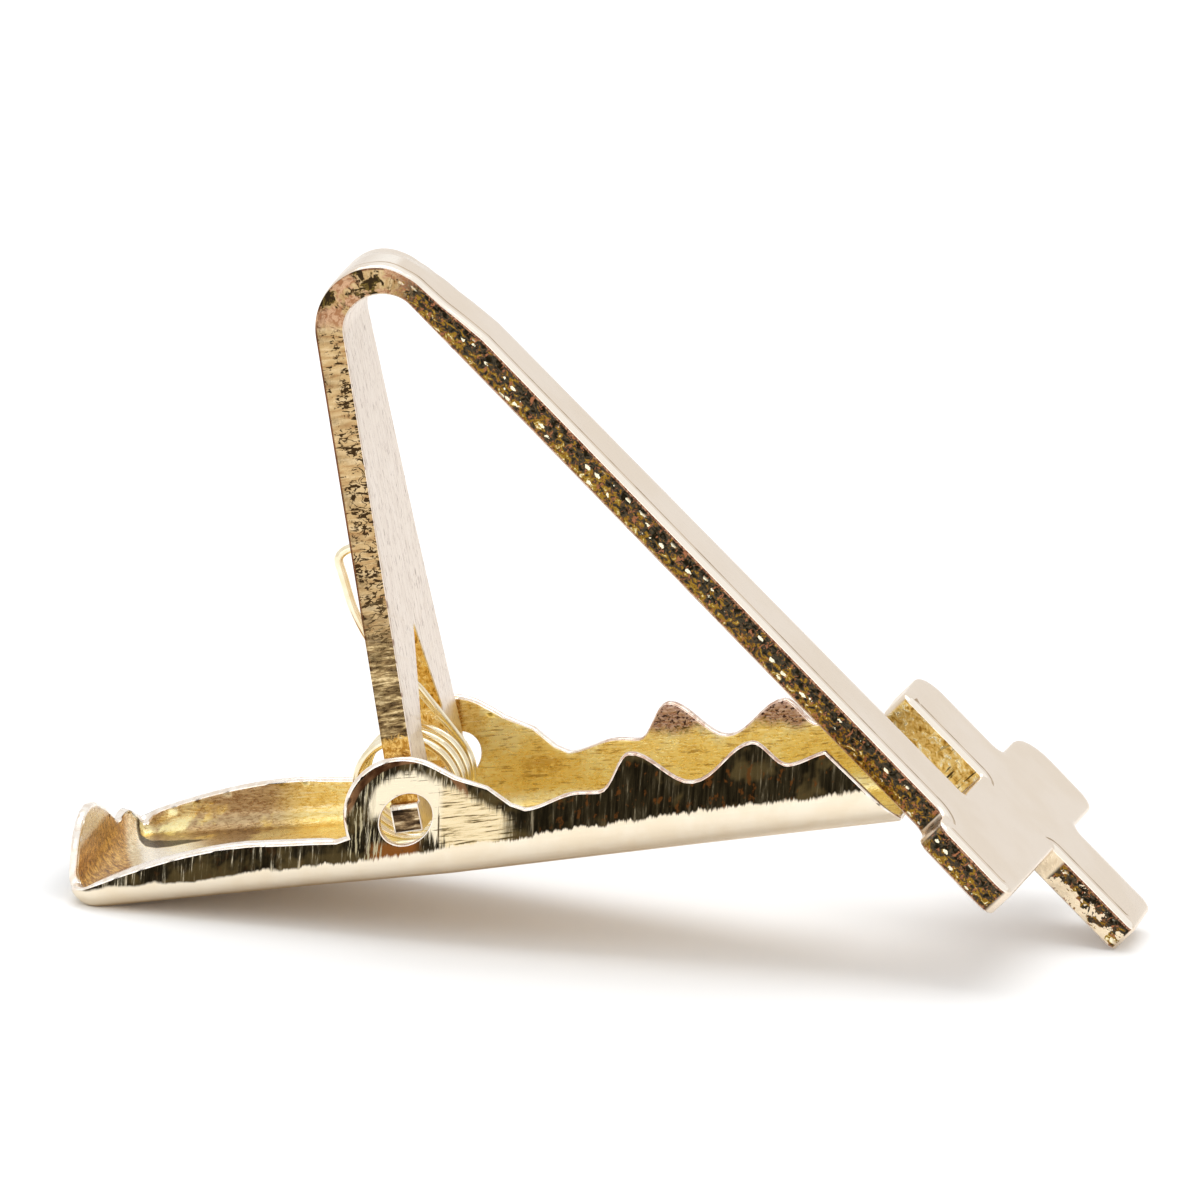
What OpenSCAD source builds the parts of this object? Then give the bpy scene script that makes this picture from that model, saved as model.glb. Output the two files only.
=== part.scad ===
// Tie bar in millimetres, +Z up, standing as it does by itself, on the jaw's tail and on an arm of its cross.
// X runs along the clip, from the tail to the tip; the cross's long stem runs along Y.
// The origin is the middle of the bounding box's bottom.

/* [Front bar] */
// thickness of the stamped metal
plate_t = 1.42; // [1.3:0.02:1.5]
// length of the leg, from the hinge to the start of the bend
leg_len = 23.4; // [22:0.1:25]
// how far the leg leans from upright, degrees
leg_lean = 14.5; // [13:0.5:16]
// width of the leg at the hinge
leg_foot_w = 11.1; // [10.7:0.1:11.2]
// width of the leg below the bend
leg_top_w = 5.3; // [4.8:0.1:5.6]
// inner radius of the bend
bend_r = 1.73; // [1.5:0.01:2.2]
// how far the bar dips below level, degrees
bar_dip = 40.9; // [40:0.1:42]
// width of the bar at the bend
bar_w0 = 3.4; // [3:0.1:4]
// width of the bar at the cross
bar_w1 = 4.18; // [3.8:0.02:4.6]

/* [Cross] */
// length of the cross's two arms together
arms_len = 16.1; // [14:0.1:18]
// width of the arms
arms_w = 4.6; // [4.2:0.05:5.2]
// width of the stem
stem_w = 5; // [4.6:0.05:5.4]
// height of the cross, from foot to top
stem_len = 19.45; // [18:0.05:21]
// how far the stem leans from square to the arms, degrees
stem_lean = 2.2; // [0:0.1:3]
// from the foot up to the lower edge of the arms
arms_up = 10.05; // [9:0.05:11]
// from the bar's end to the stem, on the bar's centre line
stem_back = 5.85; // [5.2:0.05:6.2]
// how far the foot passes the bar's centre line
foot_past = 3.85; // [3.5:0.05:4.2]

/* [Window and lugs of the leg] */
// width of the window round the spring
window_w = 4.9; // [4.7:0.1:5]
// straight height of the window
window_side = 3.4; // [3.2:0.1:3.6]
// height of the window's point above the hinge
window_top = 8.3; // [8:0.1:9]
// width of the crossbar and of the lugs at its ends
lug_w = 1.45; // [1.3:0.05:1.6]
// length from lug end to lug end
lug_span = 12; // [11.9:0.05:12.1]

/* [Jaw] */
// thickness of the sheet
sheet_t = 0.44; // [0.36:0.02:0.46]
// slope of the jaw's floor, degrees
jaw_pitch = 11.4; // [11:0.1:12]
// from the hinge down to the underside
floor_drop = 3.16; // [3.1:0.02:3.2]
// radius of the round ear
ear_r = 3.12; // [2.9:0.02:3.3]
// bore of the ear
ear_bore = 2.72; // [2.6:0.02:2.8]
// from the hinge back to the tail
tail_len = 17.1; // [16.5:0.05:17.5]
// radius of the tail below, seen from the side
tail_r = 2; // [1.8:0.1:2.2]
// radius of the tail's corners, seen from above
tail_corner_r = 1.33; // [1.1:0.01:1.5]
// radius of the folds between floor and walls
fold_r = 1.5; // [1:0.1:1.7]
// distance from the jaw's end to the back of the bar
tip_gap = 0.08; // [0.06:0.01:0.15]

/* [Spring] */
// diameter of the wire
wire_d = 0.45; // [0.4:0.01:0.48]
// radius of the coil, to the wire's centre
coil_r = 2.58; // [2.5:0.02:2.62]
// how far the loose coil hangs back from the hinge
coil_back = 0.9; // [0.8:0.02:0.96]

/* [Hidden] */
$fn = 96;
BRASS = [0.86, 0.74, 0.52];
STEEL = [0.88, 0.80, 0.62];
eps = 0.01;

// radii of the corners of the stem and of the arms, in turn: near left, near right, far right, far left
STEM_R = [0.7, 0.9, 0.9, 2];
ARMS_R = [0.5, 0.45, 0.7, 1.5];

// half width of the jaw, measured from the hinge along X
HX = 0;
HW = 1;
JAW_PLAN = [[-15, 7.05], [-5, 6.27], [2, 6.17], [25.5, 3.2]];
tail_w = 2 * JAW_PLAN[0][HW];

// upper rim of the jaw's walls, along the floor (S) and above the hinge (H); the rows are crests and valleys
RS = 0;
RH = 1;
RIM_TAIL = [[-tail_len, -2.05], [-8, -0.49], [-3.6, -0.75], [-3.2, -0.6]];
RIM_NOSE = [[1.9, 2.45], [2.8, 1.85], [4.2, 1.18], [5.2, 0.22]];
RIM_TEETH = [[5.85, -0.1], [8.4, 0.44], [9.5, 0.36], [11.2, 2.12], [14.05, 0.34], [17.15, 1.98],
    [18.75, 0.65], [20.75, 1.07], [23, 1.07]];
swell_steps = 8;
wave_steps = 7;

// outline of the thumb tab at the tail: across (Y) and above the tail's floor (Z)
TY = 0;
TZ = 1;
TAB = [[-5.72, 0.2], [-5.72, 2.6], [-5.45, 3.3], [-4.9, 3.85], [-4.1, 4.15], [-3.1, 4.2], [-1.8, 3.95],
    [-0.4, 3.45], [1.2, 2.8], [2.8, 2.05], [4.3, 1.2], [5.72, 0.5], [5.72, 0.2]];

// route of the wire's front leg past the hinge: X, Y and Z
FRONT_LEG = [[-0.74, 0.9, 4.28], [-1.3, 0.65, 4.95], [-2.3, 0.2, 6], [-3, -0.4, 6.75], [-3.43, -0.8, 7.4],
    [-4.2, -1.1, 8.85], [-4.76, -1.3, 10.48], [-5, -1.4, 11.2], [-4.93, -1.4, 11.55], [-4.6, -1.4, 11.85],
    [-4.12, -1.4, 12.05]];
// end of the back leg: along the floor from the hinge, and across
BACK_LEG_END = [-8, -2.1];
// half the length of the coil, and its centre's height above the hinge
coil_half = 1.95;
coil_up = 0.12;
// the coil runs from the front leg's angle down to the floor, and whole turns more
front_leg_angle = 30;
whole_turns = 3;
turns_angle = front_leg_angle + 90 - jaw_pitch + 360 * whole_turns;
turn_step = 15;
wire_sides = 10;
// from the back leg down to the jaw's floor
wire_gap = 0.05;

// room for the solids that only cut or bound others: across the jaw, and upwards or outwards
side_room = 9;
room = 40;
// how far a cut runs on past its edge, and past the tail's end
over = 0.3;
tail_over = 4;

// the bend turns from the leg to the bar
bend_mid = bend_r + plate_t / 2;
bend_out = bend_r + plate_t;
bend_angle = 180 + leg_lean - (90 - bar_dip);
bend_c = [
    bend_mid * cos(leg_lean) - leg_len * sin(leg_lean),
    bend_mid * sin(leg_lean) + leg_len * cos(leg_lean)];

// the tail's round sets the hinge's height over the surface that the clip stands on
tail_c = [-tail_len + tail_r, -floor_drop + tail_r];
function turned(p) = [
    p[0] * cos(jaw_pitch) - p[1] * sin(jaw_pitch),
    p[0] * sin(jaw_pitch) + p[1] * cos(jaw_pitch)];
tail_at = turned(tail_c);
hinge_h = tail_r - tail_at[1];
bar_len = (hinge_h + bend_c[1] + bend_r * cos(bar_dip)) / sin(bar_dip);
x_min = tail_at[0] - tail_r;
x_max = bend_c[0] + bend_out * sin(bar_dip) + bar_len * cos(bar_dip);
y_min = -JAW_PLAN[0][HW];
stem_top = stem_len - foot_past;
top_r = STEM_R[3];
y_max = (stem_top - top_r) * cos(stem_lean) + (stem_w / 2 - top_r) * sin(stem_lean) + top_r;
HINGE = [-(x_min + x_max) / 2, -(y_min + y_max) / 2, hinge_h];

// shared shapes

// rectangle with a radius of its own at each corner
module rounded(x0, x1, y0, y1, r) {
    polygon([[x0 + r[0], y0], [x1 - r[1], y0], [x1, y0 + r[1]], [x1, y1 - r[2]],
        [x1 - r[2], y1], [x0 + r[3], y1], [x0, y1 - r[3]], [x0, y0 + r[0]]]);
    for (c = [[x0 + r[0], y0 + r[0], r[0]], [x1 - r[1], y0 + r[1], r[1]], [x1 - r[2], y1 - r[2], r[2]],
        [x0 + r[3], y1 - r[3], r[3]]])
        translate([c[0], c[1]])
            circle(r = c[2]);
}

// a profile drawn in X and Z, made as wide as the span along Y
module across(y0, y1) {
    translate([0, y1, 0])
        rotate([90, 0, 0])
            linear_extrude(height = y1 - y0)
                children();
}

// front bar: leg, bend and bar with its cross, one stamped piece

module leg_outline() {
    half_foot = leg_foot_w / 2;
    half_top = leg_top_w / 2;
    difference() {
        polygon([[-half_foot, -lug_w / 2], [half_foot, -lug_w / 2], [half_foot, lug_w / 2],
            [half_top, leg_len + eps], [-half_top, leg_len + eps], [-half_foot, lug_w / 2]]);
        polygon([[-window_w / 2, lug_w / 2], [window_w / 2, lug_w / 2], [window_w / 2, window_side],
            [0, window_top], [-window_w / 2, window_side]]);
    }
    translate([-lug_span / 2, -lug_w / 2])
        square([lug_span, lug_w]);
}

module leg() {
    rotate([0, -leg_lean, 0])
        translate([-plate_t / 2, 0, 0])
            rotate([90, 0, 90])
                linear_extrude(height = plate_t)
                    leg_outline();
}

module bend() {
    taper_x0 = -bend_r;
    taper_x1 = bend_mid * sin(bar_dip);
    translate([bend_c[0], 0, bend_c[1]])
        intersection() {
            rotate([90, 0, 0])
                rotate([0, 0, 90 - bar_dip])
                    translate([0, 0, -leg_top_w])
                        rotate_extrude(angle = bend_angle)
                            translate([bend_r, 0])
                                square([plate_t, 2 * leg_top_w]);
            translate([0, 0, -leg_top_w])
                linear_extrude(height = 3 * leg_top_w)
                    polygon([[-2 * bend_out, -leg_top_w / 2], [taper_x0, -leg_top_w / 2],
                        [taper_x1, -bar_w0 / 2], [2 * bend_out, -bar_w0 / 2],
                        [2 * bend_out, bar_w0 / 2], [taper_x1, bar_w0 / 2],
                        [taper_x0, leg_top_w / 2], [-2 * bend_out, leg_top_w / 2]]);
        }
}

module bar_outline() {
    stem_x = bar_len - stem_back - stem_w / 2;
    arms_y = arms_up - foot_past;
    polygon([[-eps, -bar_w0 / 2], [stem_x, -bar_w1 / 2], [stem_x, bar_w1 / 2], [-eps, bar_w0 / 2]]);
    translate([stem_x, 0])
        rotate([0, 0, -stem_lean])
            rounded(-stem_w / 2, stem_w / 2, -foot_past, stem_top, STEM_R);
    rounded(bar_len - arms_len, bar_len, arms_y, arms_y + arms_w, ARMS_R);
}

module bar_and_cross() {
    translate([bend_c[0] + bend_r * sin(bar_dip), 0, bend_c[1] + bend_r * cos(bar_dip)])
        rotate([0, bar_dip, 0])
            linear_extrude(height = plate_t)
                bar_outline();
}

module front_bar() {
    color(BRASS)
        translate(HINGE) {
            leg();
            bend();
            bar_and_cross();
        }
}

// jaw: one folded sheet with ears, teeth and thumb tab

// a point between two rows of a rim's table, by its shares of the way along and of the way up
function between(a, b, along, up) = [a[RS] + (b[RS] - a[RS]) * along, a[RH] + (b[RH] - a[RH]) * up];
function ease(t) = (1 - cos(180 * t)) / 2;
function wave(a, b, n) = [for (i = [0 : n - 1]) between(a, b, i / n, ease(i / n))];
function waves(rows, n) = [for (k = [0 : len(rows) - 2]) each wave(rows[k], rows[k + 1], n)];
function swell(a, b, n) = [for (i = [0 : n - 1]) between(a, b, i / n, sin(90 * i / n))];
RIM = concat(
    swell(RIM_TAIL[0], RIM_TAIL[1], swell_steps),
    [for (k = [1 : len(RIM_TAIL) - 1]) RIM_TAIL[k]],
    [[0, 0]],
    RIM_NOSE,
    waves(RIM_TEETH, wave_steps),
    [RIM_TEETH[len(RIM_TEETH) - 1]]);

// side view of the tray, inset by the sheet for its hollow, which is open above
module side_view(inset) {
    low = -floor_drop + inset;
    r = tail_r - inset;
    difference() {
        union() {
            translate(tail_at)
                circle(r = r);
            rotate([0, 0, jaw_pitch])
                polygon([[tail_c[0], room], [room, room], [room, low], [tail_c[0], low]]);
            translate([tail_at[0] - r, tail_at[1]])
                square([2 * r, room]);
        }
        if (inset == 0)
            rotate([0, 0, jaw_pitch])
                difference() {
                    polygon(concat(
                        [[-room, RIM[0][RH]]],
                        RIM,
                        [[room, RIM[len(RIM) - 1][RH]], [room, 2 * room], [-room, 2 * room]]));
                    circle(r = ear_r);
                }
    }
}

// view of the tray from above
module top_view(inset) {
    r = tail_corner_r - inset;
    half_tail = JAW_PLAN[0][HW] - tail_corner_r;
    for (side = [-1, 1])
        translate([x_min + tail_corner_r, side * half_tail])
            circle(r = r);
    polygon(concat([[x_min + inset, -half_tail], [x_min + tail_corner_r, -half_tail - r]],
        [for (p = JAW_PLAN) [p[HX], -p[HW] + inset]],
        [for (i = [len(JAW_PLAN) - 1 : -1 : 0]) [JAW_PLAN[i][HX], JAW_PLAN[i][HW] - inset]],
        [[x_min + tail_corner_r, half_tail + r], [x_min + inset, half_tail]]));
}

// rounds the long lower edges, segment by segment of the plan
module fold_cutters(inset) {
    r = fold_r - inset;
    rotate([0, -jaw_pitch, 0])
        for (i = [0 : len(JAW_PLAN) - 2], side = [-1, 1]) {
            a = JAW_PLAN[i];
            b = JAW_PLAN[i + 1];
            from = (a[HX] - floor_drop * sin(jaw_pitch)) / cos(jaw_pitch);
            along = (b[HX] - a[HX]) / cos(jaw_pitch);
            run = norm([along, b[HW] - a[HW]]);
            before = i == 0 ? tail_over : over;
            mirror([0, side == -1 ? 1 : 0, 0])
                translate([from, a[HW] - inset, inset - floor_drop])
                    rotate([0, 0, atan2(b[HW] - a[HW], along)])
                        difference() {
                            translate([-before, -r, -1])
                                cube([run + before + over, r + 1, r + 1]);
                            translate([-before - 1, -r, r])
                                rotate([0, 90, 0])
                                    cylinder(r = r, h = run + before + over + 2);
                        }
        }
}

// the folded tray's outer form, or with an inset its hollow
module tray(inset) {
    difference() {
        intersection() {
            across(-side_room, side_room)
                side_view(inset);
            translate([0, 0, -side_room])
                linear_extrude(height = 3 * side_room)
                    top_view(inset);
        }
        fold_cutters(inset);
    }
}

// everything in front of the back of the bar, with the jaw's own gap to it
module behind_bar() {
    back_r = bend_r - tip_gap;
    translate([bend_c[0] + back_r * sin(bar_dip), -room / 2, bend_c[1] + back_r * cos(bar_dip)])
        rotate([0, bar_dip, 0])
            cube([2 * room, room, room]);
}

// the tail's upright end, cut to the tab's outline
module thumb_tab() {
    half = TAB[len(TAB) - 1][TY];
    intersection() {
        across(-half, half)
            difference() {
                union() {
                    translate(tail_at)
                        circle(r = tail_r);
                    translate([tail_at[0] - tail_r, tail_at[1]])
                        square([tail_r, room]);
                }
                translate(tail_at)
                    circle(r = tail_r - sheet_t);
                translate([tail_at[0] - tail_r + sheet_t, tail_at[1]])
                    square([tail_r, 2 * room]);
                translate([tail_at[0], tail_at[1] - 2 * tail_r])
                    square([2 * tail_r, 4 * tail_r]);
            }
        translate([x_min - 1, 0, -hinge_h])
            rotate([90, 0, 90])
                linear_extrude(height = 2 * tail_r)
                    polygon(TAB);
    }
}

module jaw() {
    color(BRASS)
        translate(HINGE)
            difference() {
                union() {
                    difference() {
                        tray(0);
                        tray(sheet_t);
                    }
                    thumb_tab();
                }
                rotate([90, 0, 0])
                    cylinder(d = ear_bore, h = 2 * tail_w, center = true);
                behind_bar();
            }
}

// spring: loose coil round the leg's crossbar, one leg up through the window, the other along the jaw's floor

function coil_at(a, y) = [coil_r * cos(a) - coil_back, y, coil_up + coil_r * sin(a)];
coil_steps = ceil(turns_angle / turn_step);
COIL = [for (i = [0 : coil_steps]) let (t = i / coil_steps)
    coil_at(front_leg_angle - turns_angle * t, coil_half - 2 * coil_half * t)];
back_end = turned([BACK_LEG_END[0], -floor_drop + sheet_t + wire_gap + wire_d / 2]);
ROUTE = concat(
    [for (i = [len(FRONT_LEG) - 1 : -1 : 0]) FRONT_LEG[i]],
    COIL,
    [[back_end[0], BACK_LEG_END[1], back_end[1]]]);

// rings of points round the wire, square to its route
function unit(v) = v / norm(v);
function heading(i) = unit(ROUTE[min(i + 1, len(ROUTE) - 1)] - ROUTE[max(i - 1, 0)]);
function side_of(i) = unit([0, 1, 0] - heading(i) * heading(i)[1]);
function ring(i) = [for (k = [0 : wire_sides - 1]) let (a = 360 * k / wire_sides)
    ROUTE[i] + wire_d / 2 * (cos(a) * side_of(i) + sin(a) * cross(heading(i), side_of(i)))];

module spring() {
    rings = len(ROUTE);
    last = (rings - 1) * wire_sides;
    color(STEEL)
        translate(HINGE)
            polyhedron(
                points = [for (i = [0 : rings - 1]) each ring(i)],
                faces = concat(
                    [[for (k = [0 : wire_sides - 1]) k]],
                    [for (i = [0 : rings - 2], k = [0 : wire_sides - 1]) let (j = (k + 1) % wire_sides)
                        [i * wire_sides + k, (i + 1) * wire_sides + k,
                            (i + 1) * wire_sides + j, i * wire_sides + j]],
                    [[for (k = [wire_sides - 1 : -1 : 0]) last + k]]),
                convexity = 12);
}

front_bar();
jaw();
spring();
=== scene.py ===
# Tie bar with a plain Latin cross: the dressed model, in metres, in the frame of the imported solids.
# Sizes are written in millimetres from the hinge and turned into metres when a mesh is made.
import math
from bisect import bisect_right

import bmesh
import bpy
import numpy as np
from mathutils import Matrix, Vector
from mathutils.geometry import delaunay_2d_cdt


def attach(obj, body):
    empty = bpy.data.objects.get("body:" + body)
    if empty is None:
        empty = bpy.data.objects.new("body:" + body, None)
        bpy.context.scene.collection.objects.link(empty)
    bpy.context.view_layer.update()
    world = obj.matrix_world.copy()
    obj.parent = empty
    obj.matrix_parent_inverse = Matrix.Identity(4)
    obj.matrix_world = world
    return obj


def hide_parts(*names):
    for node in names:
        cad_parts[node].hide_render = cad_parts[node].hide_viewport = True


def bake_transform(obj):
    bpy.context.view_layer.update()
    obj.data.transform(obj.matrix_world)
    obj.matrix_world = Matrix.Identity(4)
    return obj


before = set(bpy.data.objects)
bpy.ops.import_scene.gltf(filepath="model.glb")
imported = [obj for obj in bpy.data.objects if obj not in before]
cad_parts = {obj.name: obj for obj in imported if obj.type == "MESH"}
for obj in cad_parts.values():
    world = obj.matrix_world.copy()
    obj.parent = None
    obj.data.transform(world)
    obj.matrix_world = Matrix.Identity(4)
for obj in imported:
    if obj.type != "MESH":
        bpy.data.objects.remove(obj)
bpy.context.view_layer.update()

MM = 0.001
HINGE = Vector((-8.71411, -4.27958, 6.12174))

# The front bar is one stamped blank, folded over at the top. Places on the flat blank are u along it from the
# hinge, v across it and w through it from its middle.
PLATE = 1.42
LEG_LEN = 23.4
LEAN = math.radians(14.5)
DIP = math.radians(40.9)
BEND_R = 1.73
LEG_FOOT_W, LEG_TOP_W = 11.1, 5.3
LEG_FAR_TOP = 3.1
BAR_W0, BAR_W1 = 3.4, 4.18
ARMS_LEN, ARMS_W, ARMS_UP = 16.1, 4.6, 10.05
STEM_LEN, STEM_W, STEM_LEAN, STEM_BACK, FOOT_PAST = 19.45, 5.0, math.radians(2.2), 5.85, 3.85
LUG_W, LUG_SPAN = 1.45, 12.0
WINDOW_W, WINDOW_SIDE, WINDOW_TOP = 4.9, 3.4, 8.3
# the front's crown: how far in from the edge, and how much higher than the edge
CROWN = [(0.0, 0.0), (0.015, 0.035), (0.06, 0.09), (0.15, 0.13), (0.3, 0.16), (0.45, 0.175), (0.6, 0.18)]
CROWN_WIDE, CROWN_HIGH = CROWN[-1]
CROWN_TOP = PLATE / 2 + CROWN_HIGH
LEG_CROWN = 0.12
ROLL_LINE = 0.15
BACK_EDGE = 0.07
# how much thinner the plate is, and how much lower its far side, at a distance past the top of the bend
BEND_THINNER = [(-1.2, 0.0), (0.0, 0.12), (0.8, 0.3), (1.7, 0.38), (3.0, 0.3), (4.2, 0.14), (5.6, 0.0)]
BEND_FAR_LOWER = [(-2.6, 0.0), (-1.2, 0.22), (0.0, 0.36), (1.0, 0.27), (1.8, 0.08), (2.4, 0.0)]
BEND_FAR_AT = 1.7
# how finely the plate is cut: its rim, and cuts along the bend, the leg and the bar, and across the bend
RIM_STEP = 0.45
BEND_CORNERS, BEND_CUTS, LEG_CUTS, BAR_CUTS = 16, 48, 12, 24
ACROSS_CUTS = (0.0, 0.3, 0.6, 0.9, 1.2, 1.5)
ACROSS_PAST_BEND = 6.0
# the front's materials, in order
FACE, EDGE, BACK, LINE = range(4)

BEND_MID = BEND_R + PLATE / 2
BEND_TURN = math.pi + LEAN - (math.pi / 2 - DIP)
BEND_LEN = BEND_MID * BEND_TURN
BEND_X = -LEG_LEN * math.sin(LEAN) + BEND_MID * math.cos(LEAN)
BEND_Z = LEG_LEN * math.cos(LEAN) + BEND_MID * math.sin(LEAN)
BAR_LEN = (HINGE.z + BEND_Z + BEND_R * math.cos(DIP)) / math.sin(DIP)
BAR_U = LEG_LEN + BEND_LEN
END_U = BAR_U + BAR_LEN

# The jaw is one folded sheet. Its rims are rows of (along the floor, above the hinge), and its outline from above
# is rows of (x, half width).
SHEET = 0.44
PITCH = math.radians(11.4)
FLOOR_DROP = 3.16
EAR_R = 3.12
BORE_R = 1.29
TAIL_R = 2.0
CORNER_R = 1.5
TAIL_LEN = 17.1
TIP_GAP = 0.08
JAW_PLAN = [(-15.0, 7.05), (-5.0, 6.27), (2.0, 6.17), (25.5, 3.2)]
TAIL_HALF_W = JAW_PLAN[0][1]
RIM_TAIL = [(-17.1, -2.05), (-8.0, -0.49), (-3.6, -0.75)]
EAR_START = (-3.06, -0.62)
RIM_NOSE = [(1.9, 2.45), (2.8, 1.85), (4.2, 1.18), (5.2, 0.22)]
RIM_TEETH = [(5.85, -0.1), (8.4, 0.44), (9.5, 0.36), (11.2, 2.12), (14.05, 0.34), (17.15, 1.98), (18.75, 0.65),
             (20.75, 1.07), (24.5, 1.07)]
# the thumb tab at the tail: across, and above the ground
TAB = [(-5.8, 0.66), (-5.72, 0.75), (-5.72, 2.6), (-5.45, 3.3), (-4.9, 3.85), (-4.1, 4.15), (-3.1, 4.2),
       (-1.8, 3.95), (-0.4, 3.45), (1.2, 2.8), (2.8, 2.05), (3.6, 1.62), (4.4, 1.42), (5.2, 1.55), (5.9, 1.6),
       (6.4, 1.4)]
TAB_ROOM = 0.45
# length that q gives to the fold's arc, and height over which the inner face runs into its own fold
ARC = 2.2
FOLD_JOIN = 0.25
HEM = 0.35
BURNISH = 0.2
# the burnished rim's share at the bore, at the teeth, and what the tail has on top of the teeth's
BORE_SHARE, TEETH_SHARE, TAIL_SHARE = 0.3, 0.45, 0.45
# how finely the sheet is cut: its rim, its inner points and their distance from the rim, and the fold's steps
SHEET_STEP, POINT_STEP, POINT_ROOM, FOLD_STEPS = 0.35, 0.3, 0.14, 12
BORE_SIDES, FLOOR_SIDES, WALL_TOP = 56, 360, 5.5
PLAN_STEP, CORNER_STEPS, END_STEPS, EAR_STEPS, TOOTH_STEPS = 0.4, 12, 16, 28, 8
# the jaw's materials, in order
OUTSIDE, INSIDE, RIM = range(3)
# the painted dark reflection on the tail's floor, a curved band: its two borders as (x, y) rows
TAIL_SPAN = (-16.1, -11.7)
CRESCENT_LOW = [(-16.1, 7.4), (-15.29, 4.94), (-14.67, 3.75), (-14.08, 3.26), (-13.35, 3.32), (-12.46, 3.8),
                (-11.7, 4.1)]
CRESCENT_HIGH = [(-16.1, 7.7), (-15.3, 5.72), (-14.65, 4.92), (-13.6, 4.57), (-12.59, 4.43), (-11.7, 4.22)]

# The spring is one wire: a leg behind the front bar's leg, the coil round the crossbar, and a leg on the jaw's floor.
WIRE_D = 0.45
WIRE_GAP = 0.05
WIRE_SIDES, WIRE_STEP = 18, 0.2
COIL_R = 2.58
COIL_BACK, COIL_UP, COIL_HALF = 0.9, 0.12, 1.95
COIL_FROM, COIL_TURNS, COIL_STEP = 30.0, 3, 5
FRONT_LEG = [(-0.74, 0.9, 4.28), (-1.3, 0.65, 4.95), (-2.3, 0.2, 6.0), (-3.0, -0.4, 6.75), (-3.43, -0.8, 7.4),
             (-4.2, -1.1, 8.85), (-4.76, -1.3, 10.48), (-5.0, -1.4, 11.2), (-4.93, -1.4, 11.55), (-4.6, -1.4, 11.85),
             (-4.12, -1.4, 12.05)]
BACK_LEG_END = (-8.0, -2.1)
LEG_STEPS = 6

# The camera: the photo's angle, the frame's width, and the place of the frame's origin in the picture
AZIMUTH, ELEVATION, ROLL = math.radians(10.33), math.radians(15.43), math.radians(-3.7)
FRAME_W, PICTURE = 58.537, 1200.0
ORIGIN_AT = (615.87, 905.29)


def metres(x, y, z):
    return Vector((HINGE.x + x, HINGE.y + y, HINGE.z + z)) * MM


def tilted(s, h):
    """A point along and above the jaw's floor, as X and Z from the hinge."""
    return s * math.cos(PITCH) - h * math.sin(PITCH), s * math.sin(PITCH) + h * math.cos(PITCH)


def smooth(t):
    t = min(max(t, 0.0), 1.0)
    return t * t * (3 - 2 * t)


def along_table(x, table):
    """Value of a table of (x, value) rows at x, straight between the rows."""
    if x <= table[0][0]:
        return table[0][1]
    for (x0, y0), (x1, y1) in zip(table, table[1:]):
        if x <= x1:
            return y0 + (y1 - y0) * (x - x0) / (x1 - x0)
    return table[-1][1]


def rounded_loop(corners, steps=6):
    """Closed outline from (x, y, radius) corners."""
    out = []
    n = len(corners)
    for i, (x, y, r) in enumerate(corners):
        here = Vector((x, y))
        if r <= 0:
            out.append((x, y))
            continue
        a = (Vector(corners[i - 1][:2]) - here).normalized()
        b = (Vector(corners[(i + 1) % n][:2]) - here).normalized()
        half = a.angle(b) / 2
        reach = r / math.tan(half)
        mid = here + (a + b).normalized() * (r / math.sin(half))
        p, q = here + a * reach - mid, here + b * reach - mid
        turn = p.angle_signed(q)
        for k in range(steps + 1):
            c, s = math.cos(-turn * k / steps), math.sin(-turn * k / steps)
            out.append((mid.x + p.x * c - p.y * s, mid.y + p.x * s + p.y * c))
    return out


def spaced(loop, step):
    """The same closed outline with no side longer than step."""
    out = []
    for (x0, y0), (x1, y1) in zip(loop, loop[1:] + loop[:1]):
        n = max(1, math.ceil(math.hypot(x1 - x0, y1 - y0) / step))
        out += [(x0 + (x1 - x0) * k / n, y0 + (y1 - y0) * k / n) for k in range(n)]
    return out


def inside(p, loop):
    x, y = p
    hit = False
    for (x0, y0), (x1, y1) in zip(loop, loop[1:] + loop[:1]):
        if (y0 > y) != (y1 > y) and x < x0 + (x1 - x0) * (y - y0) / (y1 - y0):
            hit = not hit
    return hit


def outline_area(loop):
    return sum(a[0] * b[1] - b[0] * a[1] for a, b in zip(loop, loop[1:] + loop[:1])) / 2


def nearest_edge(points, loops):
    """How far each point is from the nearest side of the outlines, and that side's outward direction."""
    a = np.concatenate([np.array(loop) for loop in loops])
    b = np.concatenate([np.roll(np.array(loop), -1, axis=0) for loop in loops])
    d = b - a
    length = np.maximum((d * d).sum(1), 1e-12)
    turns = [1 if outline_area(loop) > 0 else -1 for loop in loops]
    turns = [turn if k == 0 else -turn for k, turn in enumerate(turns)]
    side = np.concatenate([np.full(len(loop), turn) for loop, turn in zip(loops, turns)])
    out = np.stack([d[:, 1], -d[:, 0]], axis=1) / np.sqrt(length)[:, None] * side[:, None]
    away, way = [], []
    for first in range(0, len(points), 500):
        p = np.array(points[first:first + 500])[:, None, :]
        t = np.clip(((p - a) * d).sum(2) / length, 0, 1)
        gap = np.linalg.norm(a + t[..., None] * d - p, axis=2)
        away += list(gap.min(1))
        way += list(out[gap.argmin(1)])
    return away, way


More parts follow.
